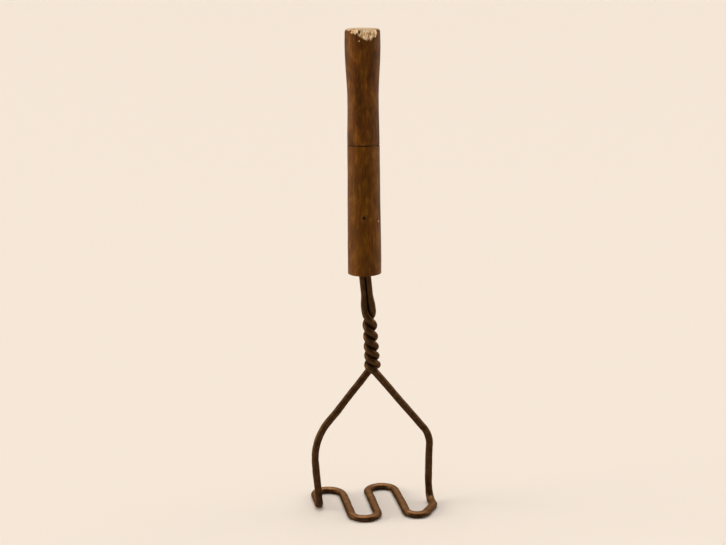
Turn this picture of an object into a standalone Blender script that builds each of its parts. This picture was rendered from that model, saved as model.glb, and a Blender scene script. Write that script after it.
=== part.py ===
"""Hand-made potato masher: a turned hardwood grip on one bent and twisted iron bar.

Both ends of the bar are drawn down thinner and run side by side up a hole in the
grip, where a small cross nail locks them. Below the grip the two strands are
twisted together, then part into two legs, and between the legs the bar snakes to
and fro on the floor as the mashing foot. Metres, +Z up, origin on the floor in
the middle of the foot, the legs in the XZ plane. The front is -Y.
"""

import math

import bmesh
import bpy
from mathutils import Matrix, Vector

# ---------------------------------------------------------------- driving sizes

# The bar: round, hammered oval along the foot, and drawn down thinner at both ends.
BAR_DIAMETER = 0.0059
FOOT_BAR_WIDTH = 0.0070
FOOT_BAR_HEIGHT = 0.0052
SOLE_WEAR = 0.0003
TANG_DIAMETER = 0.0046
TANG_GAP = 0.00035
TANG_LENGTH = 0.0700

# The foot: five runs to and fro, so four open loops, from left to right. The first bend is
# skewed, tight on the left and open on the right. The last one is cut off at a slant, from
# a share of its loop's width to a share of the foot's depth. The left leg meets the foot a
# little forward of the right one.
LOOP_WIDTHS = (0.0230, 0.0215, 0.0233, 0.0248)
FOOT_ASIDE = 0.0004
FOOT_DEPTH = 0.0640
LEFT_BEND_SKEW = 0.0042
LEFT_BEND_TIGHTNESS = 0.86
RIGHT_BEND_TIGHTNESS = 0.70
RIGHT_BEND_REACH = 0.55
RIGHT_BEND_RISE = 0.27
HEEL_BEND_RADIUS = 0.0075
LEFT_HEEL_FORWARD = 0.0040

# The legs. Each shoulder is out from the foot's middle; the right leg kicks out at its ankle.
LEFT_SHOULDER_OUT = 0.0503
RIGHT_SHOULDER_OUT = 0.0463
LEFT_SHOULDER_HEIGHT = 0.0586
RIGHT_SHOULDER_HEIGHT = 0.0579
LEFT_SHOULDER_RADIUS = 0.0450
RIGHT_SHOULDER_RADIUS = 0.0239
RIGHT_ANKLE_HEIGHT = 0.0170
RIGHT_ANKLE_OUT = 0.0455
CROTCH_HEIGHT = 0.1165
CROTCH_OFFSET = -0.0014

# The shank: both strands twisted together, tightly at the crotch and more loosely upwards.
# The lay of the twist is in bar diameters per half turn. At the top it runs out into a flat
# pair, side by side, which is drawn down and goes up into the grip. The twist's ease and the
# crotch's opening are how much wider the pair is than strands that just touch.
TWIST_TURN = math.radians(935.9)
LEAVING_TURN = math.radians(8.7)
BOTTOM_LAY = 1.235
TOP_LAY = 1.848
TWIST_EASE = 1.05
CROTCH_OPENING = 1.36
TWIST_LEAN = math.radians(3.77)
PAIR_LEAN = math.radians(5.85)
PAIR_LENGTH = 0.0371
TAPER_LENGTH = 0.0113

# The grip.
GRIP_LENGTH = 0.1907
GRIP_LEAN = math.radians(0.57)
GRIP_BOTTOM_RADIUS = 0.0133
GRIP_MIDDLE_RADIUS = 0.0127
GRIP_WAIST_RADIUS = 0.0121
GRIP_HEAD_RADIUS = 0.0138
GRIP_RIM_RADIUS = 0.0136
MIDDLE_BELOW_TOP = 0.0960
WAIST_BELOW_TOP = 0.0545
HEAD_BELOW_TOP = 0.0130
RIM_ROUNDING = 0.0030
MOUTH_ROUNDING = 0.0005
SCRIBE_BELOW_TOP = 0.0888
SCRIBE_WIDTH = 0.0009
SCRIBE_DEPTH = 0.0004
DRILL_POINT = 0.0035

# The cross nail, a brad driven in from the front between the two strands.
NAIL_HEIGHT = 0.0466
NAIL_BEARING = math.radians(-10)
NAIL_DIAMETER = 0.0016
NAIL_HEAD_DIAMETER = 0.0024
NAIL_HEAD_LENGTH = 0.0014
NAIL_POINT_LENGTH = 0.0030
NAIL_SUNK = 0.0004

# Room between pieces that touch.
FIT_GAP = 0.0003

# Fineness.
BAR_SIDES = 12
BEND_STEP = math.radians(15)
TWIST_STEP = math.radians(15)
TANG_STEPS = 12
PAIR_STEPS = 18
CLOSEST_STATIONS = 0.0008
GRIP_STEPS = 40
RIM_STEPS = 4
OUTSIDE_STEPS = 18
NAIL_STEPS = 16
MERGE = 0.00001

# ------------------------------------------------------- sizes that follow these


def touching_radius(lay):
    """How far from the axis two strands of this lay just touch, in bar diameters."""
    climb = lay / math.pi
    turns = [math.radians(3 * i) for i in range(60)]
    radius = 0.5
    while min(2 * radius**2 * (1 + math.cos(turn)) + (climb * turn) ** 2 for turn in turns) < 1:
        radius += 0.001
    return radius


bar_radius = BAR_DIAMETER / 2
crotch_strand_radius = touching_radius(BOTTOM_LAY) * TWIST_EASE * BAR_DIAMETER
pair_strand_radius = touching_radius(TOP_LAY) * TWIST_EASE * BAR_DIAMETER
tang_strand_radius = (TANG_DIAMETER + TANG_GAP) / 2
bore_radius = tang_strand_radius + TANG_DIAMETER / 2 + FIT_GAP
lay_curve = math.sqrt(TOP_LAY / BOTTOM_LAY - 1)
half_turns = TWIST_TURN / math.pi
twist_length = half_turns * BOTTOM_LAY * BAR_DIAMETER * lay_curve / math.atan(lay_curve)
twist_top = CROTCH_HEIGHT + twist_length
grip_bottom = twist_top + PAIR_LENGTH
beside_nail = math.pi + NAIL_BEARING
run_out_turn = math.radians(90 + 3 * 360) + LEAVING_TURN - TWIST_TURN - beside_nail
run_out_length = 2 * run_out_turn / math.pi * TOP_LAY * BAR_DIAMETER
taper_bottom = twist_top + run_out_length
foot_width = sum(LOOP_WIDTHS)
foot_centre_height = FOOT_BAR_HEIGHT / 2 - SOLE_WEAR


def axis_point(height):
    """The middle of the pair of strands: it leans below the grip, and follows the grip inside it."""
    twisted = min(height, twist_top) - CROTCH_HEIGHT
    paired = max(min(height, grip_bottom) - twist_top, 0)
    inside = max(height - grip_bottom, 0)
    across = twisted * math.tan(TWIST_LEAN) + paired * math.tan(PAIR_LEAN) + inside * math.tan(GRIP_LEAN)
    x = CROTCH_OFFSET - across
    return Vector((x, 0, height))


# ---------------------------------------------------------------- the bar's route


def eased(low, high, share):
    """From low to high as share goes from 0 to 1, flat at both ends."""
    return low + (high - low) * (1 - math.cos(math.pi * share)) / 2


def strand_angle(height):
    """The bearing of the first strand from the axis: +90 degrees is behind it. It grows downwards."""
    leaving = math.radians(90 + 3 * 360) + LEAVING_TURN
    if height <= twist_top:
        up = (height - CROTCH_HEIGHT) / twist_length
        return leaving - TWIST_TURN * math.atan(lay_curve * up) / math.atan(lay_curve)
    left = max(1 - (height - twist_top) / run_out_length, 0)
    return beside_nail + run_out_turn * left**2


def share_drawn(height):
    """0 where the bar has its full thickness, 1 where it is drawn down to the tang's."""
    return min(max((height - taper_bottom) / TAPER_LENGTH, 0), 1)


def strand_heights():
    """Heights down the pair, from the tang's end to the crotch: even turns apart in the twist."""
    tang_end = grip_bottom + TANG_LENGTH
    heights = [tang_end - TANG_LENGTH * i / TANG_STEPS for i in range(TANG_STEPS)]
    heights += [grip_bottom - PAIR_LENGTH * i / PAIR_STEPS for i in range(PAIR_STEPS)]
    steps = round(TWIST_TURN / TWIST_STEP)
    for i in range(steps + 1):
        up = math.tan(math.atan(lay_curve) * (1 - i / steps)) / lay_curve
        heights.append(CROTCH_HEIGHT + twist_length * up)
    return heights


def strand_point(height, side):
    """Where one strand's centre is: side 0 is the first strand, 1 the one opposite."""
    up = min((height - CROTCH_HEIGHT) / (taper_bottom - CROTCH_HEIGHT), 1)
    opening = max(1 - (height - CROTCH_HEIGHT) / (BOTTOM_LAY * BAR_DIAMETER), 0)
    twisted = eased(crotch_strand_radius, pair_strand_radius, up)
    radius = eased(twisted, tang_strand_radius, share_drawn(height)) * eased(1, CROTCH_OPENING, opening)
    angle = strand_angle(height) + side * math.pi
    return axis_point(height) + Vector((math.cos(angle), math.sin(angle), 0)) * radius


def rounded(corners):
    """A route through corners, each a point and its bend radius, with every bend as an arc."""
    points = [corners[0][0]]
    for (before, _), (corner, radius), (after, _) in zip(corners, corners[1:], corners[2:]):
        to_before = (before - corner).normalized()
        to_after = (after - corner).normalized()
        turn = math.pi - to_before.angle(to_after)
        reach = radius * math.tan(turn / 2)
        centre = corner + (to_before + to_after).normalized() * radius / math.cos(turn / 2)
        start = corner + to_before * reach - centre
        axis = start.cross(corner + to_after * reach - centre).normalized()
        steps = max(2, round(turn / BEND_STEP))
        for i in range(steps + 1):
            place = centre + Matrix.Rotation(turn * i / steps, 3, axis) @ start
            if (place - points[-1]).length > CLOSEST_STATIONS:
                points.append(place)
    points.append(corners[-1][0])
    return points


def legs_and_foot():
    """The bar from the crotch down the left leg, to and fro along the foot and up the right leg."""
    runs = [FOOT_ASIDE - foot_width / 2]
    for width in LOOP_WIDTHS:
        runs.append(runs[-1] + width)
    bends = [width / 2 for width in LOOP_WIDTHS]
    right_bend = bends[3] * RIGHT_BEND_TIGHTNESS
    right_reach = LOOP_WIDTHS[3] * RIGHT_BEND_REACH
    back = FOOT_DEPTH / 2
    front = -back

    def on_floor(x, y):
        return Vector((x, y, foot_centre_height))

    return rounded(
        [
            (strand_point(CROTCH_HEIGHT, 0), 0),
            (Vector((-LEFT_SHOULDER_OUT, 0, LEFT_SHOULDER_HEIGHT)), LEFT_SHOULDER_RADIUS),
            (on_floor(runs[0], -LEFT_HEEL_FORWARD), HEEL_BEND_RADIUS),
            (on_floor(runs[0], back + LEFT_BEND_SKEW), bends[0] * LEFT_BEND_TIGHTNESS),
            (on_floor(runs[1], back - LEFT_BEND_SKEW), bends[0] / LEFT_BEND_TIGHTNESS),
            (on_floor(runs[1], front), bends[1]),
            (on_floor(runs[2], front), bends[1]),
            (on_floor(runs[2], back), bends[2]),
            (on_floor(runs[3], back), bends[2]),
            (on_floor(runs[3], front), right_bend),
            (on_floor(runs[3] + right_reach, front), right_bend),
            (on_floor(runs[4], front + RIGHT_BEND_RISE * FOOT_DEPTH), bends[3]),
            (on_floor(runs[4], 0), HEEL_BEND_RADIUS),
            (Vector((RIGHT_ANKLE_OUT, 0, RIGHT_ANKLE_HEIGHT)), RIGHT_ANKLE_HEIGHT),
            (Vector((RIGHT_SHOULDER_OUT, 0, RIGHT_SHOULDER_HEIGHT)), RIGHT_SHOULDER_RADIUS),
            (strand_point(CROTCH_HEIGHT, 1), 0),
        ]
    )


def bar_route():
    """The whole bar's centre line, from one end of the tang to the other."""
    first = [strand_point(height, 0) for height in strand_heights()]
    second = [strand_point(height, 1) for height in strand_heights()]
    return first[:-1] + legs_and_foot() + second[-2::-1]


# ----------------------------------------------------------------------- the bar


def share_hammered(height):
    """1 where the bar is in the foot, 0 from where it stands upright in the legs."""
    return 1 - min(max((height - foot_centre_height) / HEEL_BEND_RADIUS, 0), 1)


def square_on(direction, along):
    """The part of a direction that is square on to the way along."""
    return (direction - along * direction.dot(along)).normalized()


def swept_bar(route):
    """A closed body along the route: round, and lofted into a flatter oval where it is hammered."""
    ahead = [(after - point).normalized() for point, after in zip(route, route[1:])]
    ways = [(a + b).normalized() for a, b in zip(ahead[:1] + ahead, ahead + ahead[-1:])]
    middle = len(route) // 2
    overs = [Vector((0, 0, 1))]
    for way in ways[middle + 1 :]:
        overs.append(square_on(overs[-1], way))
    for way in ways[middle - 1 :: -1]:
        overs.insert(0, square_on(overs[0], way))
    mesh = bmesh.new()
    rings = []
    for point, way, over in zip(route, ways, overs):
        flat = share_hammered(point.z)
        round_radius = eased(bar_radius, TANG_DIAMETER / 2, share_drawn(point.z))
        half_width = round_radius + (FOOT_BAR_WIDTH - BAR_DIAMETER) / 2 * flat
        half_height = round_radius + (FOOT_BAR_HEIGHT - BAR_DIAMETER) / 2 * flat
        sideways = way.cross(over)
        ring = []
        for side in range(BAR_SIDES):
            angle = 2 * math.pi * (side + 0.5) / BAR_SIDES
            up = over * half_height * math.cos(angle)
            across = sideways * half_width * math.sin(angle)
            ring.append(mesh.verts.new(point + up + across))
        rings.append(ring)
    for ring, following in zip(rings, rings[1:]):
        for side in range(BAR_SIDES):
            beside = (side + 1) % BAR_SIDES
            mesh.faces.new((ring[side], ring[beside], following[beside], following[side]))
    mesh.faces.new(rings[0])
    mesh.faces.new(rings[-1])
    bmesh.ops.recalc_face_normals(mesh, faces=mesh.faces)
    return mesh


def make_wire_frame(iron, parts, cutters):
    """The iron bar in one piece: tang, twisted shank, legs and mashing foot, worn flat underneath."""
    bar = new_object("wire_frame", swept_bar(bar_route()), iron, parts)
    ground = bmesh.new()
    bmesh.ops.create_cube(ground, size=2 * foot_width)
    bmesh.ops.translate(ground, verts=ground.verts, vec=(0, 0, -foot_width))
    cutter = new_object("ground", ground, iron, cutters)
    cut(bar, cutter)


# ---------------------------------------------------------------------- the grip


def grip_radius(below_top):
    """The grip's radius at a distance below its top, easy curves from one turned size to the next."""
    stations = [
        (0, GRIP_RIM_RADIUS),
        (HEAD_BELOW_TOP, GRIP_HEAD_RADIUS),
        (WAIST_BELOW_TOP, GRIP_WAIST_RADIUS),
        (MIDDLE_BELOW_TOP, GRIP_MIDDLE_RADIUS),
        (GRIP_LENGTH, GRIP_BOTTOM_RADIUS),
    ]
    for (start, radius), (end, following) in zip(stations, stations[1:]):
        if below_top <= end:
            return eased(radius, following, (below_top - start) / (end - start))
    return GRIP_BOTTOM_RADIUS


def grip_profile():
    """Half of the grip's section, from the middle of its top down its outside and up the bore."""
    top = GRIP_LENGTH
    profile = [(0, top), ((GRIP_RIM_RADIUS - RIM_ROUNDING) / 2, top)]
    for i in range(RIM_STEPS + 1):
        angle = math.pi / 2 * i / RIM_STEPS
        out = grip_radius(RIM_ROUNDING) - RIM_ROUNDING * (1 - math.sin(angle))
        profile.append((out, top - RIM_ROUNDING * (1 - math.cos(angle))))
    groove = (SCRIBE_BELOW_TOP - SCRIBE_WIDTH / 2, SCRIBE_BELOW_TOP, SCRIBE_BELOW_TOP + SCRIBE_WIDTH / 2)
    length = GRIP_LENGTH - RIM_ROUNDING - MOUTH_ROUNDING
    steps = [RIM_ROUNDING + length * (i + 1) / OUTSIDE_STEPS for i in range(OUTSIDE_STEPS)]
    steps = [step for step in steps if abs(step - SCRIBE_BELOW_TOP) > SCRIBE_WIDTH]
    for below_top in sorted(steps + list(groove)):
        depth = SCRIBE_DEPTH if below_top == SCRIBE_BELOW_TOP else 0
        profile.append((grip_radius(below_top) - depth, top - below_top))
    profile.append((GRIP_BOTTOM_RADIUS - MOUTH_ROUNDING, 0))
    bore_top = TANG_LENGTH + FIT_GAP
    profile += [(bore_radius, 0), (bore_radius, bore_top), (0, bore_top + DRILL_POINT)]
    return profile


def make_grip(wood, parts, cutters):
    """The turned grip, with a blind bore for the tang and a hole for the cross nail."""
    grip = turned("grip", grip_profile(), GRIP_STEPS, wood, parts)
    grip.matrix_world = grip_place()
    room = FIT_GAP
    hole = [
        (0, GRIP_HEAD_RADIUS),
        (NAIL_HEAD_DIAMETER / 2 + room, GRIP_HEAD_RADIUS),
        (NAIL_HEAD_DIAMETER / 2 + room, nail_head_seat()),
        (NAIL_DIAMETER / 2 + room, nail_head_seat()),
        (NAIL_DIAMETER / 2 + room, 0),
        (0, 0),
    ]
    drill = turned("nail_hole", hole, NAIL_STEPS, wood, cutters)
    drill.matrix_world = nail_place()
    cut(grip, drill)


def grip_place():
    """Where the grip's own frame is: its bottom's centre, leaning as the grip does."""
    lean = Matrix.Rotation(-GRIP_LEAN, 4, "Y")
    return Matrix.Translation(axis_point(grip_bottom)) @ lean


# ----------------------------------------------------------------- the cross nail


def nail_place():
    """The nail's own frame: on the grip's axis, +Z pointing straight out of the nail's head."""
    outwards = Matrix.Rotation(NAIL_BEARING, 4, "Z") @ Matrix.Rotation(math.pi / 2, 4, "X")
    return grip_place() @ Matrix.Translation((0, 0, NAIL_HEIGHT)) @ outwards


def nail_head_top():
    """How far the nail's head is from the grip's axis: punched just below the wood."""
    return grip_radius(GRIP_LENGTH - NAIL_HEIGHT) - NAIL_SUNK


def nail_head_seat():
    """How far from the grip's axis the hole for the head ends."""
    return nail_head_top() - NAIL_HEAD_LENGTH - FIT_GAP


def make_cross_nail(iron, parts):
    """The brad that locks the tang, its point in the groove between the two strands."""
    beside = tang_strand_radius - NAIL_DIAMETER / 2 - FIT_GAP
    valley = math.sqrt((TANG_DIAMETER / 2) ** 2 - beside**2)
    tip = valley + FIT_GAP
    neck = nail_head_top() - NAIL_HEAD_LENGTH
    profile = [
        (0, nail_head_top()),
        (NAIL_HEAD_DIAMETER / 2, nail_head_top()),
        (NAIL_HEAD_DIAMETER / 2, neck + (NAIL_HEAD_DIAMETER - NAIL_DIAMETER) / 2),
        (NAIL_DIAMETER / 2, neck),
        (NAIL_DIAMETER / 2, tip + NAIL_POINT_LENGTH),
        (NAIL_DIAMETER / 8, tip),
        (0, tip),
    ]
    nail = turned("cross_nail", profile, NAIL_STEPS, iron, parts)
    nail.matrix_world = nail_place()


# ------------------------------------------------------------------ shared making


def new_object(name, mesh, material, collection):
    """An object from a bmesh, in its collection, with its material."""
    data = bpy.data.meshes.new(name)
    mesh.to_mesh(data)
    mesh.free()
    data.materials.append(material)
    data.shade_smooth()
    data.set_sharp_from_angle(angle=math.radians(35))
    made = bpy.data.objects.new(name, data)
    collection.objects.link(made)
    return made


def turned(name, profile, steps, material, collection):
    """A turned body: the profile, from the axis down its outside and back, screwed round Z."""
    mesh = bmesh.new()
    corners = [mesh.verts.new((out, 0, height)) for out, height in profile]
    for upper, lower in zip(corners, corners[1:]):
        mesh.edges.new((upper, lower))
    made = new_object(name, mesh, material, collection)
    screw = made.modifiers.new("turn", "SCREW")
    screw.steps = steps
    screw.render_steps = steps
    screw.use_merge_vertices = True
    screw.merge_threshold = MERGE
    return made


def cut(made, cutter):
    """Takes the cutter's volume out of an object."""
    cutter.hide_render = True
    cutter.display_type = "WIRE"
    taken = made.modifiers.new("cut", "BOOLEAN")
    taken.operation = "DIFFERENCE"
    taken.object = cutter


def finish(name, colour, roughness, metallic):
    """A Principled material."""
    material = bpy.data.materials.new(name)
    material.use_nodes = True
    shader = material.node_tree.nodes["Principled BSDF"]
    shader.inputs["Base Color"].default_value = (*colour, 1)
    shader.inputs["Roughness"].default_value = roughness
    shader.inputs["Metallic"].default_value = metallic
    return material


def collection_of(name):
    """A new collection in the scene."""
    made = bpy.data.collections.new(name)
    bpy.context.scene.collection.children.link(made)
    return made


def main():
    for thing in list(bpy.data.objects):
        bpy.data.objects.remove(thing, do_unlink=True)
    parts = collection_of("potato_masher")
    cutters = collection_of("cutters")
    make_grip(finish("oiled_hardwood", (0.16, 0.065, 0.018), 0.5, 0), parts, cutters)
    make_wire_frame(finish("forged_iron", (0.035, 0.017, 0.009), 0.5, 0.6), parts, cutters)
    make_cross_nail(finish("nail_iron", (0.03, 0.02, 0.015), 0.55, 0.6), parts)


main()
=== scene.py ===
"""Looks for a hand-made potato masher: a turned hardwood grip on a bent and twisted iron bar.

Metres, +Z up, origin on the floor in the middle of the mashing foot, the front at -Y.
"""

import math

import bmesh
import bpy
from mathutils import Matrix, Vector, noise


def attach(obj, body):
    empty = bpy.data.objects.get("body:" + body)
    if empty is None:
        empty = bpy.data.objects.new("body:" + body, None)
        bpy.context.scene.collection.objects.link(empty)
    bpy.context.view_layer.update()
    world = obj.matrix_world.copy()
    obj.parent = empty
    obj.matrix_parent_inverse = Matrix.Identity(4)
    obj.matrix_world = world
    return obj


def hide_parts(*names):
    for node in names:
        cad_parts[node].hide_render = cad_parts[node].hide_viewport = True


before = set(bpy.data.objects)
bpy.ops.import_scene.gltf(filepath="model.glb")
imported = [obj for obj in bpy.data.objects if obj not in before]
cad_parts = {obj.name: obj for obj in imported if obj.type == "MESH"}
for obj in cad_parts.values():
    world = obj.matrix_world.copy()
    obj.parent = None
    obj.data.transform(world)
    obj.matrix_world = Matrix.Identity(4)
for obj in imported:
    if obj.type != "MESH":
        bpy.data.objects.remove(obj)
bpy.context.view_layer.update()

# The bar's sway and the nail's dents take their offsets from this seed.
NOISE_SEED = 3
noise.seed_set(NOISE_SEED)

MM = 0.001

# ------------------------------------------------- sizes shared with the iron's CAD
#
# TANG_DIAMETER, TANG_GAP and TWIST_EASE differ from the CAD's: there the two strands are
# a hair apart, so that the bar is a clean solid, and here they are pressed together.

BAR_DIAMETER = 0.0059
FOOT_BAR_WIDTH = 0.0070
FOOT_BAR_HEIGHT = 0.0052
SOLE_WEAR = 0.0003
TANG_DIAMETER = 0.00485
TANG_GAP = -0.00015
TANG_LENGTH = 0.0700
LOOP_WIDTHS = (0.0230, 0.0215, 0.0233, 0.0248)
FOOT_ASIDE = 0.0004
FOOT_DEPTH = 0.0640
LEFT_BEND_SKEW = 0.0042
LEFT_BEND_TIGHTNESS = 0.86
RIGHT_BEND_TIGHTNESS = 0.70
RIGHT_BEND_REACH = 0.55
RIGHT_BEND_RISE = 0.27
HEEL_BEND_RADIUS = 0.0075
LEFT_HEEL_FORWARD = 0.0040
LEFT_SHOULDER_OUT = 0.0503
RIGHT_SHOULDER_OUT = 0.0463
LEFT_SHOULDER_HEIGHT = 0.0586
RIGHT_SHOULDER_HEIGHT = 0.0579
LEFT_SHOULDER_RADIUS = 0.0450
RIGHT_SHOULDER_RADIUS = 0.0239
RIGHT_ANKLE_HEIGHT = 0.0170
RIGHT_ANKLE_OUT = 0.0455
CROTCH_HEIGHT = 0.1165
CROTCH_OFFSET = -0.0014
TWIST_TURN = math.radians(935.9)
LEAVING_TURN = math.radians(8.7)
BOTTOM_LAY = 1.235
TOP_LAY = 1.848
TWIST_EASE = 0.985
CROTCH_OPENING = 1.36
TWIST_LEAN = math.radians(3.77)
PAIR_LEAN = math.radians(5.85)
PAIR_LENGTH = 0.0371
TAPER_LENGTH = 0.0113

# ------------------------------------------------- sizes shared with the grip's CAD

GRIP_LENGTH = 0.1907
GRIP_LEAN = math.radians(0.57)
GRIP_BOTTOM_RADIUS = 0.0133
GRIP_MIDDLE_RADIUS = 0.0127
GRIP_WAIST_RADIUS = 0.0121
GRIP_HEAD_RADIUS = 0.0138
GRIP_RIM_RADIUS = 0.0136
MIDDLE_BELOW_TOP = 0.0960
WAIST_BELOW_TOP = 0.0545
HEAD_BELOW_TOP = 0.0130
RIM_ROUNDING = 0.0030
MOUTH_ROUNDING = 0.0005
SCRIBE_BELOW_TOP = 0.0888
SCRIBE_WIDTH = 0.0009
SCRIBE_DEPTH = 0.0004
DRILL_POINT = 0.0035
NAIL_HEIGHT = 0.0466
NAIL_BEARING = math.radians(-10)
NAIL_DIAMETER = 0.0016
NAIL_HEAD_DIAMETER = 0.0024
NAIL_SUNK = 0.0004
FIT_GAP = 0.0003

# ------------------------------------------------------------ fineness of the looks

BAR_SIDES = 24
BEND_STEP = math.radians(4)
TWIST_STEP = math.radians(6)
STATION_GAP = 0.0008
STRETCH_STATIONS = 30
CLOSEST_STATIONS = 0.0003
GRIP_STEPS = 144
PUNCH_STEPS = 20
BRAD_STEPS = 32
TOP_RINGS = 14
RIM_RINGS = 8
MOUTH_RINGS = 4
BORE_RINGS = 6
MERGE = 0.00001

# --------------------------------------- hand work and wear on the iron, in millimetres

SWAY = 0.35  # how far the hand-bent bar wanders from its line
SWAY_SIZE = 21
UNEVEN_SHARE = 0.035  # by how much of itself the bar's thickness varies
UNEVEN_SIZE = 13
TIGHT_BLOW = 0.04  # hammer marks where the strands lie close, and how much more elsewhere
LOOSE_BLOW = 0.12
HIGHEST_BLOW = 0.08
BLOW_SIZE = 6.5
SCALE_HEIGHT = 0.05
SCALE_SIZE = 2.2
PIT_DEPTH = 0.12
PIT_SIZE = 1.2
PIT_FROM = 0.25  # the noise level where a pit starts
LOOSE_BELOW_CROTCH = 12
DUST_AND_HIGHLIGHT_FROM = 0.66  # how far up a face looks where the dust and the painted highlight start, from 0 to 1
DUST_AND_HIGHLIGHT_OVER = 0.30

# --------------------------------------- hand work and wear on the grip, in millimetres

OUT_OF_ROUND = 0.06
SWELL_DEPTH = 0.16
SWELL_SIZE = 16
RIPPLE_DEPTH = 0.05
RIPPLE_SIZE = 4
CHIP_DEPTH = 0.30
FLAKE_DEPTH = 0.25
FLAKE_WIDTH = 1.1
FLAKE_LENGTH = 3
TORN_WIDTH = 1.6  # ragged edges of the bare patches
TORN_LENGTH = 3.4
LINE_WANDER = 0.35
LINE_HIGHEST = -1.75  # the bearing where the scribed line is highest, in radians
LINE_UNEVEN_SIZE = 6
LINE_DIRT_SIZE = 5
RIM_WORN_BELOW_TOP = 0.3
RIM_WORN_WIDTH = 1.1
RIM_WORN_SHARE = 0.75
TOP_FACE = 0.2  # what lies this close to the top belongs to its flat face
TOP_SUNK = 0.10
TOP_SUNK_SIZE = 3
TOP_CHIPPED = 0.25
SIDE_CLEAR_OF_BORE = 1.5  # how far out from the bore the wear of the sides starts
MOUTH_CLEAR_OF_BORE = 0.5
LOW_SIDE = math.radians(-165)  # the bearing where the lower end is cut a little longer
LOW_SIDE_DROP = 0.2
NEAR_LINE = 1.5  # how close to the line, the rim and the mouth the rings are close together
NEAR_RIM = 16
NEAR_MOUTH = 4
LINE_RING_GAP = 0.15
EDGE_RING_GAP = 0.4
SIDE_RING_GAP = 1.2
PUNCH_CLEARANCE = 0.12
PUNCH_DEPTH = 1.9
PUNCH_FLARE = 1.5  # the punched hole's mouth and lip, in radii of the hole
PUNCH_LIP = 1.12
PUNCH_DENTS = 0.10
PUNCH_DENT_SIZE = 0.9
BRAD_DENTS = 0.07
BRAD_DENT_SIZE = 1.1
BRAD_HEAD_DEPTH = 1.2
BRAD_NECK = 1.40  # below the head's top
BRAD_TAPER = 5.6  # from the grip's axis, as the two that follow
BRAD_POINT_SHOULDER = 2.7
BRAD_POINT = 2.6

# -------------------------------------------------------------- the shape of the bar


def touching_radius(lay):
    """How far from the axis two strands of this lay just touch, in bar diameters."""
    climb = lay / math.pi
    turns = [math.radians(3 * i) for i in range(60)]  # half a turn, every 3 degrees
    radius = 0.5
    while min(2 * radius**2 * (1 + math.cos(turn)) + (climb * turn) ** 2 for turn in turns) < 1:
        radius += 0.001
    return radius


bar_radius = BAR_DIAMETER / 2
crotch_strand_radius = touching_radius(BOTTOM_LAY) * TWIST_EASE * BAR_DIAMETER
pair_strand_radius = touching_radius(TOP_LAY) * TWIST_EASE * BAR_DIAMETER
tang_strand_radius = (TANG_DIAMETER + TANG_GAP) / 2
bore_radius = tang_strand_radius + TANG_DIAMETER / 2 + FIT_GAP
lay_curve = math.sqrt(TOP_LAY / BOTTOM_LAY - 1)
half_turns = TWIST_TURN / math.pi
twist_length = half_turns * BOTTOM_LAY * BAR_DIAMETER * lay_curve / math.atan(lay_curve)
twist_top = CROTCH_HEIGHT + twist_length
grip_bottom = twist_top + PAIR_LENGTH
beside_nail = math.pi + NAIL_BEARING
behind = math.radians(90 + 3 * 360)  # straight behind, and three turns on so it stays positive
run_out_turn = behind + LEAVING_TURN - TWIST_TURN - beside_nail
run_out_length = 2 * run_out_turn / math.pi * TOP_LAY * BAR_DIAMETER
taper_bottom = twist_top + run_out_length
foot_width = sum(LOOP_WIDTHS)
foot_centre_height = FOOT_BAR_HEIGHT / 2 - SOLE_WEAR


def axis_point(height):
    """The middle of the pair of strands: it leans, and follows the grip inside it."""
    twisted = min(height, twist_top) - CROTCH_HEIGHT
    paired = max(min(height, grip_bottom) - twist_top, 0)
    inside = max(height - grip_bottom, 0)
    across = twisted * math.tan(TWIST_LEAN) + paired * math.tan(PAIR_LEAN)
    across += inside * math.tan(GRIP_LEAN)
    return Vector((CROTCH_OFFSET - across, 0, height))


def eased(low, high, share):
    """From low to high as share goes from 0 to 1, flat at both ends."""
    return low + (high - low) * (1 - math.cos(math.pi * share)) / 2


def strand_angle(height):
    """The bearing of the first strand from the axis, which grows downwards."""
    leaving = behind + LEAVING_TURN
    if height <= twist_top:
        up = (height - CROTCH_HEIGHT) / twist_length
        return leaving - TWIST_TURN * math.atan(lay_curve * up) / math.atan(lay_curve)
    left = max(1 - (height - twist_top) / run_out_length, 0)
    return beside_nail + run_out_turn * left**2


def share_drawn(height):
    """0 where the bar has its full thickness, 1 where it is drawn down to the tang's."""
    return min(max((height - taper_bottom) / TAPER_LENGTH, 0), 1)


def strand_heights():
    """Heights down the pair, from the tang's end to the crotch: even turns apart in the twist."""
    tang_steps = round(TANG_LENGTH / STATION_GAP / 2)
    pair_steps = round(PAIR_LENGTH / STATION_GAP)
    twist_steps = round(TWIST_TURN / TWIST_STEP)
    heights = [grip_bottom + TANG_LENGTH * (1 - i / tang_steps) for i in range(tang_steps)]
    heights += [grip_bottom - PAIR_LENGTH * i / pair_steps for i in range(pair_steps)]
    for i in range(twist_steps + 1):
        up = math.tan(math.atan(lay_curve) * (1 - i / twist_steps)) / lay_curve
        heights.append(CROTCH_HEIGHT + twist_length * up)
    return heights


def strand_point(height, side):
    """Where one strand's centre is: side 0 is the first strand, 1 the one opposite."""
    up = min((height - CROTCH_HEIGHT) / (taper_bottom - CROTCH_HEIGHT), 1)
    opening = max(1 - (height - CROTCH_HEIGHT) / (BOTTOM_LAY * BAR_DIAMETER), 0)
    twisted = eased(crotch_strand_radius, pair_strand_radius, up)
    drawn = eased(twisted, tang_strand_radius, share_drawn(height))
    radius = drawn * eased(1, CROTCH_OPENING, opening)
    angle = strand_angle(height) + side * math.pi
    return axis_point(height) + Vector((math.cos(angle), math.sin(angle), 0)) * radius


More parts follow.
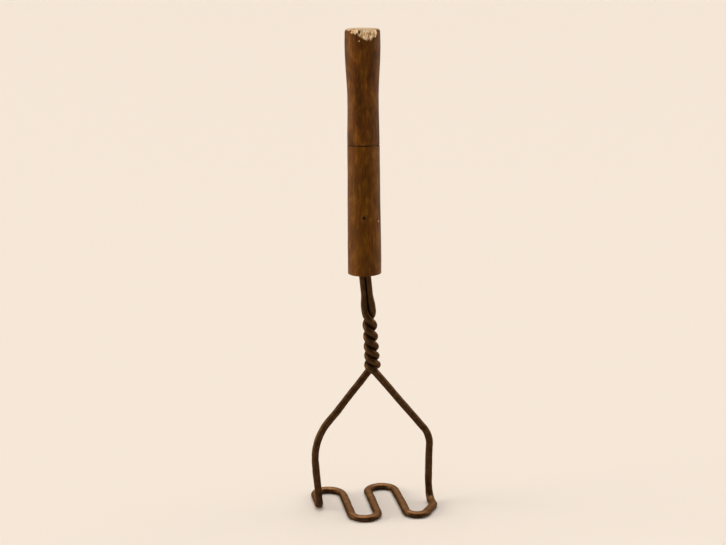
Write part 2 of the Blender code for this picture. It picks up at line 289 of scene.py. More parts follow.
def rounded(corners):
    """A route through corners, each a point and its bend radius, with every bend as an arc."""
    points = [corners[0][0]]
    for (before, _), (corner, radius), (after, _) in zip(corners, corners[1:], corners[2:]):
        to_before = (before - corner).normalized()
        to_after = (after - corner).normalized()
        turn = math.pi - to_before.angle(to_after)
        reach = radius * math.tan(turn / 2)
        centre = corner + (to_before + to_after).normalized() * radius / math.cos(turn / 2)
        start = corner + to_before * reach - centre
        axis = start.cross(corner + to_after * reach - centre).normalized()
        steps = max(2, round(turn / BEND_STEP))
        for i in range(steps + 1):
            place = centre + Matrix.Rotation(turn * i / steps, 3, axis) @ start
            if (place - points[-1]).length > CLOSEST_STATIONS:
                points.append(place)
    points.append(corners[-1][0])
    return points


def legs_and_foot():
    """The bar from the crotch down the left leg, to and fro along the foot and up the right leg."""
    runs = [FOOT_ASIDE - foot_width / 2]
    for width in LOOP_WIDTHS:
        runs.append(runs[-1] + width)
    bends = [width / 2 for width in LOOP_WIDTHS]
    right_bend = bends[3] * RIGHT_BEND_TIGHTNESS
    right_reach = LOOP_WIDTHS[3] * RIGHT_BEND_REACH
    back = FOOT_DEPTH / 2
    front = -back

    def on_floor(x, y):
        return Vector((x, y, foot_centre_height))

    return rounded(
        [
            (strand_point(CROTCH_HEIGHT, 0), 0),
            (Vector((-LEFT_SHOULDER_OUT, 0, LEFT_SHOULDER_HEIGHT)), LEFT_SHOULDER_RADIUS),
            (on_floor(runs[0], -LEFT_HEEL_FORWARD), HEEL_BEND_RADIUS),
            (on_floor(runs[0], back + LEFT_BEND_SKEW), bends[0] * LEFT_BEND_TIGHTNESS),
            (on_floor(runs[1], back - LEFT_BEND_SKEW), bends[0] / LEFT_BEND_TIGHTNESS),
            (on_floor(runs[1], front), bends[1]),
            (on_floor(runs[2], front), bends[1]),
            (on_floor(runs[2], back), bends[2]),
            (on_floor(runs[3], back), bends[2]),
            (on_floor(runs[3], front), right_bend),
            (on_floor(runs[3] + right_reach, front), right_bend),
            (on_floor(runs[4], front + RIGHT_BEND_RISE * FOOT_DEPTH), bends[3]),
            (on_floor(runs[4], 0), HEEL_BEND_RADIUS),
            (Vector((RIGHT_ANKLE_OUT, 0, RIGHT_ANKLE_HEIGHT)), RIGHT_ANKLE_HEIGHT),
            (Vector((RIGHT_SHOULDER_OUT, 0, RIGHT_SHOULDER_HEIGHT)), RIGHT_SHOULDER_RADIUS),
            (strand_point(CROTCH_HEIGHT, 1), 0),
        ]
    )


def bar_route():
    """The whole bar's centre line, end to end, with stations no further apart than STATION_GAP."""
    first = [strand_point(height, 0) for height in strand_heights()]
    second = [strand_point(height, 1) for height in strand_heights()]
    corners = first[:-1] + legs_and_foot() + second[-2::-1]
    route = [corners[0]]
    for start, end in zip(corners, corners[1:]):
        pieces = math.ceil((end - start).length / STATION_GAP)
        route += [start.lerp(end, (i + 1) / pieces) for i in range(pieces)]
    return route


def share_hammered(height):
    """1 where the bar is in the foot, 0 from where it stands upright in the legs."""
    return 1 - min(max((height - foot_centre_height) / HEEL_BEND_RADIUS, 0), 1)


def square_on(direction, along):
    """The part of a direction that is square on to the way along."""
    return (direction - along * direction.dot(along)).normalized()


def share_loose(height):
    """1 for the legs and the foot, 0 for the twist and the tang, where the strands lie close."""
    return min(max((CROTCH_HEIGHT - height) / (LOOSE_BELOW_CROTCH * MM), 0), 1)


def bar_sections():
    """A place for each section of the bar: its X is half the bar's width, its Y half its height."""
    route = bar_route()
    for i, point in enumerate(route):
        sway = noise.noise_vector(point / (SWAY_SIZE * MM)) * SWAY * MM * share_loose(point.z)
        sway.z *= 1 - share_hammered(point.z)
        route[i] = point + sway
    ahead = [(after - point).normalized() for point, after in zip(route, route[1:])]
    ways = [(a + b).normalized() for a, b in zip(ahead[:1] + ahead, ahead + ahead[-1:])]
    middle = len(route) // 2
    overs = [Vector((0, 0, 1))]
    for way in ways[middle + 1 :]:
        overs.append(square_on(overs[-1], way))
    for way in ways[middle - 1 :: -1]:
        overs.insert(0, square_on(overs[0], way))
    sections = []
    for point, way, over in zip(route, ways, overs):
        flat = share_hammered(point.z)
        round_radius = eased(bar_radius, TANG_DIAMETER / 2, share_drawn(point.z))
        half_width = round_radius + (FOOT_BAR_WIDTH - BAR_DIAMETER) / 2 * flat
        half_height = round_radius + (FOOT_BAR_HEIGHT - BAR_DIAMETER) / 2 * flat
        place = point / (UNEVEN_SIZE * MM) + Vector((7, 0, 0))
        uneven = 1 + UNEVEN_SHARE * noise.noise(place) * share_loose(point.z)
        columns = [over.cross(way) * half_width * uneven, over * half_height * uneven, way, point]
        section = Matrix([(*column, 0) for column in columns]).transposed()
        section[3][3] = 1
        sections.append(section)
    return sections


def hammered(mesh):
    """Works the bar's skin: broad hammer marks in the foot and legs, and fine scale and pits."""
    mesh.normal_update()
    moves = []
    for vert in mesh.verts:
        strength = TIGHT_BLOW + LOOSE_BLOW * share_loose(vert.co.z)
        blow = min(noise.noise(vert.co / (BLOW_SIZE * MM)) * strength, HIGHEST_BLOW)
        scale = noise.noise(vert.co / (SCALE_SIZE * MM)) * SCALE_HEIGHT
        pitted = noise.noise(vert.co / (PIT_SIZE * MM) + Vector((3, 1, 5))) - PIT_FROM
        moves.append(vert.normal * (blow + scale - max(pitted, 0) * PIT_DEPTH) * MM)
    # The upward faces of the foot are marked for a lighter brown: partly dust from rubbing, partly
    # a painted highlight from the light above.
    dust_and_top_highlight = mesh.verts.layers.float.new("dust_and_top_highlight")
    for vert, move in zip(mesh.verts, moves):
        facing_up = min(max((vert.normal.z - DUST_AND_HIGHLIGHT_FROM) / DUST_AND_HIGHLIGHT_OVER, 0), 1)
        vert[dust_and_top_highlight] = facing_up * share_hammered(vert.co.z - 0.5 * HEEL_BEND_RADIUS)
        vert.co += move
        vert.co.z = max(vert.co.z, 0)


def stretch_of_bar(sections):
    """One stretch of the bar's skin: an oval ring extruded from section to section."""
    mesh = bmesh.new()
    bmesh.ops.create_circle(mesh, segments=BAR_SIDES, radius=1, matrix=sections[0])
    rim = list(mesh.edges)
    for before, after in zip(sections, sections[1:]):
        grown = bmesh.ops.extrude_edge_only(mesh, edges=rim)["geom"]
        corners = [part for part in grown if isinstance(part, bmesh.types.BMVert)]
        sides = [part for part in grown if isinstance(part, bmesh.types.BMEdge)]
        rim = [edge for edge in sides if all(corner in corners for corner in edge.verts)]
        bmesh.ops.transform(mesh, matrix=after @ before.inverted(), verts=corners)
    return mesh


def make_wire_bar(iron):
    """The iron bar in one piece: its stretches joined end to end, and its two ends closed."""
    sections = bar_sections()
    mesh = bmesh.new()
    carrier = bpy.data.meshes.new("stretch")
    for start in range(0, len(sections) - 1, STRETCH_STATIONS):
        stretch = stretch_of_bar(sections[start : start + STRETCH_STATIONS + 1])
        stretch.to_mesh(carrier)
        stretch.free()
        mesh.from_mesh(carrier)
    bpy.data.meshes.remove(carrier)
    bmesh.ops.remove_doubles(mesh, verts=mesh.verts, dist=MERGE)
    bmesh.ops.holes_fill(mesh, edges=[edge for edge in mesh.edges if edge.is_boundary])
    bmesh.ops.recalc_face_normals(mesh, faces=mesh.faces)
    hammered(mesh)
    return new_piece("wire_bar", mesh, iron)


# ------------------------------------------------------------- the shape of the grip


def grip_radius(below_top):
    """The grip's radius at a distance below its top: easy curves between the turned sizes."""
    stations = [
        (0, GRIP_RIM_RADIUS),
        (HEAD_BELOW_TOP, GRIP_HEAD_RADIUS),
        (WAIST_BELOW_TOP, GRIP_WAIST_RADIUS),
        (MIDDLE_BELOW_TOP, GRIP_MIDDLE_RADIUS),
        (GRIP_LENGTH, GRIP_BOTTOM_RADIUS),
    ]
    for (start, radius), (end, following) in zip(stations, stations[1:]):
        if below_top <= end:
            return eased(radius, following, (below_top - start) / (end - start))
    return GRIP_BOTTOM_RADIUS


def outside_steps():
    """Distances below the top for the rings of the grip's outside: closest at the line."""
    steps = []
    below_top = RIM_ROUNDING
    while below_top < GRIP_LENGTH - MOUTH_ROUNDING:
        steps.append(below_top)
        gap = SIDE_RING_GAP
        if below_top < NEAR_RIM * MM or below_top > GRIP_LENGTH - NEAR_MOUTH * MM:
            gap = EDGE_RING_GAP
        if abs(below_top - SCRIBE_BELOW_TOP) < NEAR_LINE * MM:
            gap = LINE_RING_GAP
        below_top += gap * MM
    return steps


def grip_profile():
    """Half of the grip's section, from the middle of its top down its outside and up the bore."""
    top = GRIP_LENGTH
    flat = GRIP_RIM_RADIUS - RIM_ROUNDING
    profile = [(flat * i / TOP_RINGS, top) for i in range(TOP_RINGS)]
    for i in range(RIM_RINGS):
        angle = math.pi / 2 * i / RIM_RINGS
        out = grip_radius(RIM_ROUNDING) - RIM_ROUNDING * (1 - math.sin(angle))
        profile.append((out, top - RIM_ROUNDING * (1 - math.cos(angle))))
    profile += [(grip_radius(below_top), top - below_top) for below_top in outside_steps()]
    mouth = GRIP_BOTTOM_RADIUS
    for i in range(MOUTH_RINGS + 1):
        angle = math.pi / 2 * i / MOUTH_RINGS
        out = mouth - MOUTH_ROUNDING * (1 - math.cos(angle))
        profile.append((out, MOUTH_ROUNDING * (1 - math.sin(angle))))
    bore_top = TANG_LENGTH + FIT_GAP
    shares = [i / BORE_RINGS for i in range(1, BORE_RINGS + 1)]
    profile += [(mouth + (bore_radius - mouth) * share, 0) for share in shares]
    profile += [(bore_radius, bore_top * share) for share in shares]
    profile.append((0, bore_top + DRILL_POINT))
    return profile


def spun(profile, steps):
    """A turned mesh: the profile is spun once round Z, and its poles and seam are closed."""
    mesh = bmesh.new()
    corners = [mesh.verts.new((out, 0, height)) for out, height in profile]
    edges = [mesh.edges.new(pair) for pair in zip(corners, corners[1:])]
    bmesh.ops.spin(
        mesh,
        geom=corners + edges,
        cent=(0, 0, 0),
        axis=(0, 0, 1),
        angle=2 * math.pi,
        steps=steps,
        use_merge=True,
        use_normal_flip=False,
        use_duplicate=False,
    )
    bmesh.ops.remove_doubles(mesh, verts=mesh.verts, dist=MERGE)
    bmesh.ops.recalc_face_normals(mesh, faces=mesh.faces)
    return mesh


# Patches where the finish is knocked off to bare wood: the bearing in degrees, then in
# millimetres the distance below the top, half width and half height, then how bare, to 1.
BARE_PATCHES = (
    (-135, 1.6, 1.6, 1.5, 1.0),
    (-122, 1.4, 2.4, 1.8, 0.7),
    (-110, 2.0, 4.0, 3.4, 0.75),
    (-97, 2.6, 2.6, 4.2, 0.95),
    (-84, 3.2, 2.8, 5.0, 1.0),
    (-74, 3.4, 2.0, 4.4, 1.0),
    (-91, 6.4, 1.5, 1.5, 1.0),
    (-78, 6.2, 1.1, 1.7, 1.0),
    (-60, 2.4, 2.6, 3.4, 0.95),
    (-50, 2.0, 1.4, 2.6, 0.9),
    (-112, 8.6, 0.8, 0.7, 0.5),
    (-160, 0.6, 3.0, 0.9, 0.8),
    (20, 1.8, 3.0, 2.4, 0.9),
    (42, 1.0, 2.0, 1.4, 0.8),
    (95, 2.4, 3.6, 2.8, 0.9),
    (110, 6.4, 1.2, 1.8, 0.7),
    (150, 1.2, 2.6, 1.6, 0.8),
    (-40, 148.0, 0.6, 0.7, 0.8),
    (70, 120.0, 0.7, 1.6, 0.5),
    (170, 60.0, 0.8, 1.2, 0.5),
)


# Dings in the grip: the bearing in degrees, then in millimetres the distance below the
# top, half width, half height and depth.
DINGS = (
    (-100, 47, 1.6, 2.2, 0.22),
    (-62, 71, 1.2, 1.8, 0.20),
    (-128, 104, 1.4, 2.6, 0.22),
    (-75, 131, 1.8, 1.5, 0.20),
    (-140, 163, 1.5, 2.0, 0.25),
    (40, 38, 2.0, 2.4, 0.28),
    (118, 82, 1.5, 2.8, 0.25),
    (10, 141, 1.8, 2.0, 0.25),
    (160, 118, 1.3, 1.7, 0.22),
)


def off_middle(bearing, below_top, radius, mark):
    """How far off the middle of a patch or ding a spot is, squared: 1 at its half sizes."""
    middle, down, half_width, half_height = mark[:4]
    turn = (bearing - math.radians(middle) + math.pi) % (2 * math.pi) - math.pi
    across = turn * radius / (half_width * MM)
    along = (below_top - down * MM) / (half_height * MM)
    return across**2 + along**2


def patch_share(bearing, below_top, patch):
    """How bare a patch leaves a spot on the grip: most at its middle, 0 outside its fading edge."""
    fading = 2.2
    off = off_middle(bearing, below_top, GRIP_HEAD_RADIUS, patch)
    return patch[4] * max(0, 1 - off / fading)


def ding_depth(bearing, below_top, ding):
    """How deep a ding is at a spot on the grip's side."""
    off = off_middle(bearing, below_top, GRIP_MIDDLE_RADIUS, ding)
    return ding[4] * MM * max(0, 1 - off) ** 1.5


def torn_noise(spot, width, length):
    """Noise at a spot on the grip, drawn out along the wood's fibres; sizes in millimetres."""
    across, along = width * MM, length * MM
    return noise.noise(Vector((spot.x / across, spot.y / across, spot.z / along)))


def bareness(spot):
    """How much of the finish is gone at a spot on the grip's outside, from 0 to 1."""
    below_top = GRIP_LENGTH - spot.z
    bearing = math.atan2(spot.y, spot.x)
    ragged = 0.85 + 0.8 * torn_noise(spot, TORN_WIDTH, TORN_LENGTH)
    worn = max(patch_share(bearing, below_top, patch) for patch in BARE_PATCHES)
    off_rim = abs(below_top - RIM_WORN_BELOW_TOP * MM) / (RIM_WORN_WIDTH * MM)
    rim = max(0, 1 - off_rim) * RIM_WORN_SHARE
    return min(1, max(worn, rim) * ragged)


def hand_worn(mesh):
    """Ages the new turning: slightly out of round, dinged, chipped at the rim, cut by the line."""
    bare = mesh.verts.layers.float.new("bare")
    dirt = mesh.verts.layers.float.new("dirt")
    for vert in mesh.verts:
        spot = vert.co.copy()
        out = math.hypot(spot.x, spot.y)
        below_top = GRIP_LENGTH - spot.z
        bearing = math.atan2(spot.y, spot.x)
        if below_top <= TOP_FACE * MM:
            vert[bare] = 1
            chipped = bareness(Vector((spot.x, spot.y, GRIP_LENGTH)))
            vert.co.z -= TOP_SUNK * MM * (1 + noise.noise(spot / (TOP_SUNK_SIZE * MM)))
            vert.co.z -= TOP_CHIPPED * MM * chipped * (out / GRIP_HEAD_RADIUS) ** 4
        elif out > bore_radius + SIDE_CLEAR_OF_BORE * MM and spot.z > 0.1 * MM:
            vert[bare] = bareness(spot)
            flake = torn_noise(spot, FLAKE_WIDTH, FLAKE_LENGTH)
            swell = Vector((spot.x, spot.y, spot.z * 0.45)) / (SWELL_SIZE * MM)
            ripple = Vector((spot.x, spot.y, spot.z * 0.3)) / (RIPPLE_SIZE * MM)
            inward = OUT_OF_ROUND * math.cos(2 * bearing + 0.8)
            inward += SWELL_DEPTH * noise.noise(swell) + RIPPLE_DEPTH * noise.noise(ripple)
            inward += vert[bare] ** 2 * (CHIP_DEPTH + FLAKE_DEPTH * flake)
            line = SCRIBE_BELOW_TOP - LINE_WANDER * MM * math.cos(bearing - LINE_HIGHEST)
            in_line = max(0, 1 - abs(below_top - line) / (SCRIBE_WIDTH / 2))
            uneven = 0.75 + 0.5 * noise.noise(spot / (LINE_UNEVEN_SIZE * MM))
            filled = 1.5 + 1.2 * noise.noise(spot / (LINE_DIRT_SIZE * MM))
            vert[dirt] = min(1, in_line * filled)
            depth = SCRIBE_DEPTH * uneven * in_line
            depth += sum(ding_depth(bearing, below_top, ding) for ding in DINGS)
            share = 1 - (inward * MM + depth) / out
            vert.co.x *= share
            vert.co.y *= share
        if spot.z < NEAR_MOUTH * MM and out > bore_radius + MOUTH_CLEAR_OF_BORE * MM:
            low_side = max(0, math.cos(bearing - LOW_SIDE)) * (1 - spot.z / (NEAR_MOUTH * MM))
            vert.co.z -= LOW_SIDE_DROP * MM * low_side * (out / GRIP_BOTTOM_RADIUS) ** 2


def grip_place():
    """Where the grip's own frame is: its bottom's centre, leaning as the grip does."""
    return Matrix.Translation(axis_point(grip_bottom)) @ Matrix.Rotation(-GRIP_LEAN, 4, "Y")


def nail_place():
    """The nail's own frame: on the grip's axis, +Z pointing straight out of the nail's head."""
    outwards = Matrix.Rotation(NAIL_BEARING, 4, "Z") @ Matrix.Rotation(math.pi / 2, 4, "X")
    return grip_place() @ Matrix.Translation((0, 0, NAIL_HEIGHT)) @ outwards


def nail_head_top():
    """How far the nail's head is from the grip's axis: punched just below the wood."""
    return grip_radius(GRIP_LENGTH - NAIL_HEIGHT) - NAIL_SUNK


def make_wood_grip(wood):
    """The grip: turned, worn by hand, and punched where the nail goes in."""
    mesh = spun(grip_profile(), GRIP_STEPS)
    hand_worn(mesh)
    bmesh.ops.transform(mesh, matrix=grip_place(), verts=mesh.verts)
    bmesh.ops.recalc_face_normals(mesh, faces=mesh.faces)
    grip = new_piece("wood_grip", mesh, wood)
    hole_radius = NAIL_HEAD_DIAMETER / 2 + PUNCH_CLEARANCE * MM
    outside = GRIP_HEAD_RADIUS + MM
    inside = nail_head_top() - PUNCH_DEPTH * MM
    hole = [
        (0, outside),
        (hole_radius * PUNCH_FLARE, outside),
        (hole_radius * PUNCH_LIP, nail_head_top() + NAIL_SUNK),
        (hole_radius, nail_head_top()),
        (hole_radius, inside),
        (0, inside),
    ]
    punch = spun(hole, PUNCH_STEPS)
    for vert in punch.verts:
        vert.co += noise.noise_vector(vert.co / (PUNCH_DENT_SIZE * MM)) * PUNCH_DENTS * MM
    bmesh.ops.transform(punch, matrix=nail_place(), verts=punch.verts)
    bmesh.ops.recalc_face_normals(punch, faces=punch.faces)
    cutter = new_piece("punch", punch, wood)
    return cut(grip, cutter)


def make_brad(iron):
    """The cross nail: a domed head, a little off round, on a tapered shank."""
    head = nail_head_top()
    radius = NAIL_HEAD_DIAMETER / 2
    # The head's dome and side: share of its radius, then millimetres below its top.
    dome = ((0, -0.02), (0.45, 0), (0.78, 0.08), (0.95, 0.22), (1, 0.45), (0.97, 0.80))
    profile = [(out * radius, head - below * MM) for out, below in dome]
    profile += [
        (NAIL_DIAMETER / 2, head - BRAD_NECK * MM),
        (NAIL_DIAMETER / 2, BRAD_TAPER * MM),
        (NAIL_DIAMETER / 8, BRAD_POINT_SHOULDER * MM),
        (0, BRAD_POINT * MM),
    ]
    mesh = spun(profile, BRAD_STEPS)
    for vert in mesh.verts:
        if vert.co.z > head - BRAD_HEAD_DEPTH * MM:
            vert.co += noise.noise_vector(vert.co / (BRAD_DENT_SIZE * MM)) * BRAD_DENTS * MM
    bmesh.ops.transform(mesh, matrix=nail_place(), verts=mesh.verts)
    bmesh.ops.recalc_face_normals(mesh, faces=mesh.faces)
    return new_piece("brad", mesh, iron)


# --------------------------------------------------------------------- shared making


def new_piece(name, mesh, material):
    """An object from a bmesh, at the origin, shaded smooth with its sharp edges kept."""
    data = bpy.data.meshes.new(name)
    mesh.to_mesh(data)
    mesh.free()
    data.materials.append(material)
    data.shade_smooth()
    data.set_sharp_from_angle(angle=math.radians(50))
    made = bpy.data.objects.new(name, data)
    bpy.context.scene.collection.objects.link(made)
    return made


def cut(made, cutter):
    """Takes the cutter's volume out of a piece, for good, and removes the cutter."""
    taken = made.modifiers.new("cut", "BOOLEAN")
    taken.operation = "DIFFERENCE"
    taken.object = cutter
    graph = bpy.context.evaluated_depsgraph_get()
    data = bpy.data.meshes.new_from_object(
        made.evaluated_get(graph), preserve_all_data_layers=True, depsgraph=graph
    )
    made.modifiers.clear()
    made.data = data
    bpy.data.objects.remove(cutter)
    return made


# ------------------------------------------------------------------------- materials


def colour(text):
    """A linear colour from an sRGB hex value such as "#A07040"."""
    parts = [int(text[i : i + 2], 16) / 255 for i in (1, 3, 5)]
    linear = [p / 12.92 if p <= 0.04045 else ((p + 0.055) / 1.055) ** 2.4 for p in parts]
    return (*linear, 1)


def add(tree, kind, inputs=None, stops=None, **settings):
    """Adds a node: its settings, its ramp's stops, and each input as a value or an output."""
    made = tree.nodes.new("ShaderNode" + kind)
    for name, value in settings.items():
        setattr(made, name, value)
    for name, value in (inputs or {}).items():
        if isinstance(value, bpy.types.NodeSocket):
            tree.links.new(value, made.inputs[name])
        else:
            made.inputs[name].default_value = value
    if stops:
        ramp = made.color_ramp.elements
        while len(ramp) < len(stops):
            ramp.new(1)
        for element, (place, shade) in zip(ramp, stops):
            element.position = place
            element.color = shade if isinstance(shade, tuple) else (shade, shade, shade, 1)
    return made


def new_material(name):
    """A material with only its Principled shader and output; gives the tree and the shader."""
    material = bpy.data.materials.new(name)
    material.use_nodes = True
    return material, material.node_tree, material.node_tree.nodes["Principled BSDF"]


def per(*sizes):
    """Pattern scales from feature sizes in millimetres, for coordinates in metres."""
    return tuple(1000 / size for size in sizes)


WAVE_REPEAT = math.pi / 10  # how far apart a wave texture's bands are at a scale of 1


def aged_turned_hardwood():
    """Turned hardwood, oiled and darkened by a century of hands.

    To the eye: long straight grain with dark pores, a soft dull shine where hands polish
    it, darker above the scribed line and yellower below, and pale bare wood on the top
    and wherever the rim is knocked.
    """
    material, tree, shader = new_material("aged_turned_hardwood")
    where = add(tree, "TexCoord").outputs["Object"]
    height = add(tree, "SeparateXYZ", {0: where}).outputs["Z"]
    bare = add(tree, "Attribute", attribute_name="bare").outputs["Fac"]
    dirt = add(tree, "Attribute", attribute_name="dirt").outputs["Fac"]

    # Growth rings 2.1 mm apart round a pith outside the billet, drifting a little along it.
    slow = add(tree, "Mapping", {"Vector": where, "Scale": per(9, 9, 60)}).outputs[0]
    drift = add(tree, "TexNoise", {"Vector": slow, "Scale": 1.0}).outputs["Color"]
    drifts = {0: drift, 1: (0.0035, 0.0035, 0)}
    lean = add(tree, "VectorMath", drifts, operation="MULTIPLY").outputs[0]
    drifted = add(tree, "VectorMath", {0: where, 1: lean}, operation="ADD").outputs[0]
    billet = add(tree, "Mapping", {"Vector": drifted, "Location": (0.031, -0.022, 0)}).outputs[0]
    rings = add(
        tree,
        "TexWave",
        {
            "Vector": billet,
            "Scale": WAVE_REPEAT / 0.0021,
            "Distortion": 1.2,
            "Detail": 2.0,
            "Detail Scale": 1.5,
        },
        wave_type="RINGS",
        rings_direction="Z",
        wave_profile="SAW",
    ).outputs["Fac"]

    # How wide and long each pattern's marks are in millimetres, and their detail. Fibres and
    # pores follow the drifting grain; real pores are a third as wide. Spots are the old
    # finish thinning and thickening, hands are hand dirt, and flakes are torn bare wood.
    patterns = {}
    for name, grain, width, length, detail in (
        ("fibres", drifted, 0.8, 26, 4.0),
        ("pores", drifted, 0.5, 7, 1.0),
        ("spots", where, 4, 8, 3.0),
        ("hands", where, 9, 20, 3.0),
        ("flakes", where, 1.0, 2.2, 3.0),
    ):
        placed = add(tree, "Mapping", {"Vector": grain, "Scale": per(width, width, length)})
        marks = {"Vector": placed.outputs[0], "Scale": 1.0, "Detail": detail}
        patterns[name] = add(tree, "TexNoise", marks).outputs["Fac"]
    fibres, spots, hands = patterns["fibres"], patterns["spots"], patterns["hands"]

    # Three ramps of a dark, a middle and a light tone: wood below the line, above it, and bare.
    tones = {}
    for name, pattern, places, shades in (
        ("lower", fibres, (0.24, 0.5, 0.78), ("#4C2D0B", "#5F3A0E", "#734812")),
        ("upper", fibres, (0.24, 0.5, 0.78), ("#49290E", "#5E3811", "#744614")),
        ("raw", patterns["flakes"], (0.28, 0.46, 0.62), ("#A0733E", "#E2BA80", "#FFF6E6")),
    ):
        stops = [(place, colour(shade)) for place, shade in zip(places, shades)]
        tones[name] = add(tree, "ValToRGB", {0: pattern}, stops=stops).outputs[0]

    # Where each layer of the finish shows, from 0 to 1.
    grip_top = grip_bottom + GRIP_LENGTH
    line_height = grip_top - SCRIBE_BELOW_TOP
    on_line = {0: height, 1: line_height - 0.4 * MM, 2: line_height + 0.4 * MM}
    above_line = add(tree, "MapRange", on_line).outputs[0]
    ambered = add(tree, "MapRange", {0: spots, 1: 0.48, 2: 0.72, 4: 0.6}).outputs[0]
    reddened = add(tree, "MapRange", {0: spots, 1: 0.50, 2: 0.30, 4: 0.5}).outputs[0]
    ringed = add(tree, "MapRange", {0: rings, 1: 0.35, 2: 1.0, 4: 0.35}).outputs[0]
    gripped = add(tree, "MapRange", {0: above_line, 3: 0.32, 4: 0.72}).outputs[0]
    handled = add(tree, "MapRange", {0: hands, 1: 0.42, 2: 0.66, 4: gripped}).outputs[0]
    open_pores = add(tree, "MapRange", {0: patterns["pores"], 1: 0.60, 2: 0.72}).outputs[0]
    pored = add(tree, "Math", {0: open_pores, 1: 0.55}, operation="MULTIPLY").outputs[0]

    # The layers in order, each a share and a colour over the last.
    base = {0: above_line, 6: tones["lower"], 7: tones["upper"]}
    finish = add(tree, "Mix", base, data_type="RGBA").outputs[2]
    for share, shade in (
        (ambered, "#8A5C20"),
        (reddened, "#5A2C14"),
        (ringed, "#4A2A0C"),
        (handled, "#2E1A08"),
        (pored, "#25140A"),
        (dirt, "#140A05"),
    ):
        layer = {0: share, 6: finish, 7: colour(shade)}
        finish = add(tree, "Mix", layer, data_type="RGBA").outputs[2]

    # Bare wood: tan, torn along the fibres, with near-white fresh spots, and greyed on the top.
    frayed = add(tree, "Math", {0: fibres, 1: -0.5}, operation="ADD").outputs[0]
    frays = {0: frayed, 1: 0.9, 2: bare}
    torn = add(tree, "Math", frays, operation="MULTIPLY_ADD").outputs[0]
    bared = add(tree, "MapRange", {0: torn, 1: 0.30, 2: 0.62}).outputs[0]
    near_top = {0: height, 1: grip_top - 1.1 * MM, 2: grip_top - 0.4 * MM}
    on_top = add(tree, "MapRange", near_top).outputs[0]
    weathered = add(tree, "Math", {0: on_top, 1: 0.75}, operation="MULTIPLY").outputs[0]
    greys = {0: weathered, 6: tones["raw"], 7: colour("#BEA88E")}
    greyed = add(tree, "Mix", greys, data_type="RGBA").outputs[2]
    finish = add(tree, "Mix", {0: bared, 6: finish, 7: greyed}, data_type="RGBA").outputs[2]
    tree.links.new(finish, shader.inputs["Base Color"])

    polish = add(tree, "MapRange", {0: hands, 1: 0.3, 2: 0.7, 3: 0.42, 4: 0.58}).outputs[0]
    rough = add(tree, "Mix", {0: bared, 2: polish, 3: 0.78}).outputs[0]
    tree.links.new(rough, shader.inputs["Roughness"])
    shader.inputs["Specular IOR Level"].default_value = 0.20
    shader.inputs["Specular Tint"].default_value = colour("#D09A62")

    # Turning marks every 0.9 mm, raised fibres and open pores.
    turning = add(
        tree,
        "TexWave",
        {
            "Vector": where,
            "Scale": WAVE_REPEAT / 0.0009,
            "Distortion": 2.5,
            "Detail": 2.0,
            "Detail Scale": 0.3,
        },
        wave_type="BANDS",
        bands_direction="Z",
    ).outputs["Fac"]
    raised = {0: turning, 1: 0.12, 2: fibres}
    relief = add(tree, "Math", raised, operation="MULTIPLY_ADD").outputs[0]
    sunk = {0: open_pores, 1: -0.5, 2: relief}
    opened = add(tree, "Math", sunk, operation="MULTIPLY_ADD").outputs[0]
    bump = add(tree, "Bump", {"Height": opened, "Strength": 0.45, "Distance": 0.00022})
    tree.links.new(bump.outputs[0], shader.inputs["Normal"])
    return material


def forged_iron():
    """Bar iron, forged black, then browned by use and washing.

    To the eye: dark brown scale, mottled by old rust over 4.5 mm and gritty at 0.9 mm, with
    a dull sheen, and a lighter brown on the upward faces of the foot: partly dust from rubbing,
    partly a painted highlight from the light above.
    """
    material, tree, shader = new_material("forged_iron")
    where = add(tree, "TexCoord").outputs["Object"]
    dust_and_top_highlight = add(tree, "Attribute", attribute_name="dust_and_top_highlight").outputs["Fac"]
    mottled = {"Vector": where, "Scale": 1 / 0.0045, "Detail": 5.0, "Roughness": 0.62}
    mottle = add(tree, "TexNoise", mottled).outputs["Fac"]
    gritty = {"Vector": where, "Scale": 1 / 0.0009, "Detail": 3.0, "Roughness": 0.6}
    grit = add(tree, "TexNoise", gritty).outputs["Fac"]

    tones = []
    # The second ramp is the lighter brown of the foot's upward faces: dust, and a painted highlight
    # from the light above.
    for shades in (("#2E1C0E", "#3F2A16", "#523822"), ("#7E5A3C", "#946E4C", "#AA8460")):
        stops = [(place, colour(shade)) for place, shade in zip((0.30, 0.52, 0.72), shades)]
        tones.append(add(tree, "ValToRGB", {0: mottle}, stops=stops).outputs[0])
    scale, dusty_and_lit = tones
    base = add(tree, "Mix", {0: dust_and_top_highlight, 6: scale, 7: dusty_and_lit}, data_type="RGBA").outputs[2]
    speck = add(tree, "MapRange", {0: grit, 1: 0.58, 2: 0.75, 4: 0.35}).outputs[0]
    specked = {0: speck, 6: base, 7: colour("#5E4028")}
    finish = add(tree, "Mix", specked, data_type="RGBA").outputs[2]
    tree.links.new(finish, shader.inputs["Base Color"])

    dull = add(tree, "MapRange", {0: mottle, 1: 0.35, 2: 0.7, 3: 0.46, 4: 0.36}).outputs[0]
    tree.links.new(dull, shader.inputs["Roughness"])
    shader.inputs["Metallic"].default_value = 0.75
    shader.inputs["Specular IOR Level"].default_value = 0.4
    shader.inputs["Specular Tint"].default_value = colour("#DEC2A6")

    raised = {0: mottle, 1: 1.6, 2: grit}
    relief = add(tree, "Math", raised, operation="MULTIPLY_ADD").outputs[0]
    bump = add(tree, "Bump", {"Height": relief, "Strength": 0.5, "Distance": 0.0002})
    tree.links.new(bump.outputs[0], shader.inputs["Normal"])
    return material


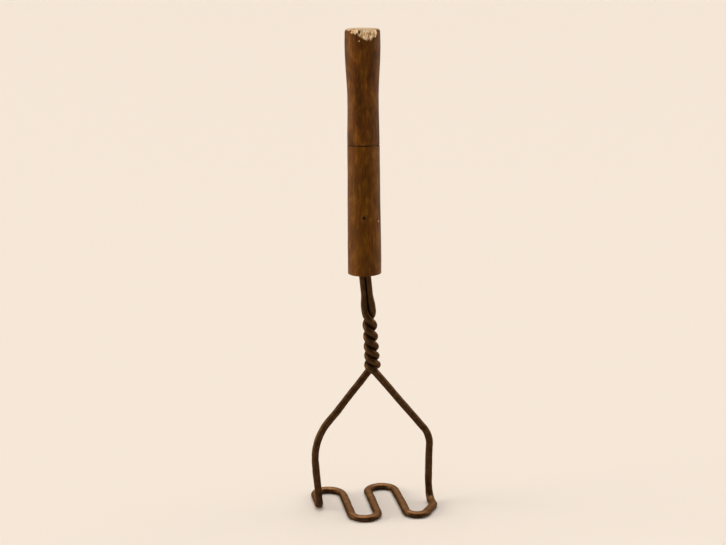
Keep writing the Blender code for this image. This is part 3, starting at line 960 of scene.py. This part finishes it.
def nail_iron():
    """Cut nail iron, rusted dark in its hole: a matt black-brown spot with a few rust grains."""
    material, tree, shader = new_material("nail_iron")
    where = add(tree, "TexCoord").outputs["Object"]
    grains = {"Vector": where, "Scale": 1 / 0.0006, "Detail": 3.0}
    rust = add(tree, "TexNoise", grains).outputs["Fac"]
    stops = [(0.35, colour("#120C08")), (0.55, colour("#21140C")), (0.75, colour("#4A2E1C"))]
    finish = add(tree, "ValToRGB", {0: rust}, stops=stops)
    tree.links.new(finish.outputs[0], shader.inputs["Base Color"])
    matt = add(tree, "MapRange", {0: rust, 3: 0.6, 4: 0.85})
    tree.links.new(matt.outputs[0], shader.inputs["Roughness"])
    shader.inputs["Metallic"].default_value = 0.5
    bump = add(tree, "Bump", {"Height": rust, "Strength": 0.5, "Distance": 0.0001})
    tree.links.new(bump.outputs[0], shader.inputs["Normal"])
    return material


# ------------------------------------------------------------------------- the studio


FLOOR_HALF_WIDTH = 40
FLOOR_BELOW_SOLE = 0.0001


def pale_floor():
    """A plain pale floor, wide enough to fill the view up to its top edge."""
    material, tree, shader = new_material("pale_paint")
    shader.inputs["Base Color"].default_value = colour("#EBE9EA")
    shader.inputs["Roughness"].default_value = 0.9
    mesh = bmesh.new()
    bmesh.ops.create_grid(mesh, x_segments=1, y_segments=1, size=FLOOR_HALF_WIDTH)
    bmesh.ops.translate(mesh, verts=mesh.verts, vec=(0, 0, -FLOOR_BELOW_SOLE))
    floor = new_piece("floor", mesh, material)


def soft_light(name, strength, bearing, height, spread, tint):
    """A distant soft light: its bearing round +Z (0 is +X), height and spread are in degrees."""
    data = bpy.data.lights.new(name, "SUN")
    data.energy = strength
    data.angle = math.radians(spread)
    data.color = colour(tint)[:3]
    light = bpy.data.objects.new(name, data)
    turn, rise = math.radians(bearing), math.radians(height)
    level = math.cos(rise)
    to_light = Vector((math.cos(turn) * level, math.sin(turn) * level, math.sin(rise)))
    light.rotation_euler = to_light.to_track_quat("Z", "Y").to_euler()
    light.location = to_light
    bpy.context.scene.collection.objects.link(light)


def studio():
    """Soft light from above and from both sides, little from the front, and a warm pale room."""
    world = bpy.data.worlds.new("room")
    world.use_nodes = True
    bpy.context.scene.world = world
    room = world.node_tree.nodes["Background"]
    room.inputs["Color"].default_value = colour("#FFF2E2")
    room.inputs["Strength"].default_value = 0.26
    soft_light("above", strength=1.75, bearing=90, height=78, spread=60, tint="#FFF3E4")
    soft_light("left_side", strength=2.6, bearing=172, height=14, spread=40, tint="#FFEFD8")
    soft_light("right_side", strength=1.35, bearing=4, height=14, spread=40, tint="#FFEFD8")
    bpy.context.scene.view_settings.view_transform = "Standard"


CAMERA_DISTANCE = 1.05
CAMERA_HEIGHT = 0.4496
CAMERA_BEARING = math.radians(10.12)
CAMERA_PITCH = math.radians(13.53)
CAMERA_ASIDE = 0.0093
LENS = 67.6
SENSOR_WIDTH = 36


def make_camera():
    """A camera in front and a little to the left, at hand height, looking down at the foot."""
    data = bpy.data.cameras.new("camera")
    data.lens = LENS
    data.sensor_width = SENSOR_WIDTH
    camera = bpy.data.objects.new("camera", data)
    turn = Matrix.Rotation(-CAMERA_BEARING, 4, "Z")
    place = Matrix.Translation((-CAMERA_ASIDE, -CAMERA_DISTANCE, CAMERA_HEIGHT))
    camera.matrix_world = turn @ place @ Matrix.Rotation(math.pi / 2 - CAMERA_PITCH, 4, "X")
    bpy.context.scene.collection.objects.link(camera)
    bpy.context.scene.camera = camera


iron = forged_iron()
wire_bar = make_wire_bar(iron)
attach(wire_bar, "root")
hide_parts("wire_frame")

wood_grip = make_wood_grip(aged_turned_hardwood())
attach(wood_grip, "root")
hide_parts("grip")

brad = make_brad(nail_iron())
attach(brad, "root")
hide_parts("cross_nail")

pale_floor()
studio()
make_camera()
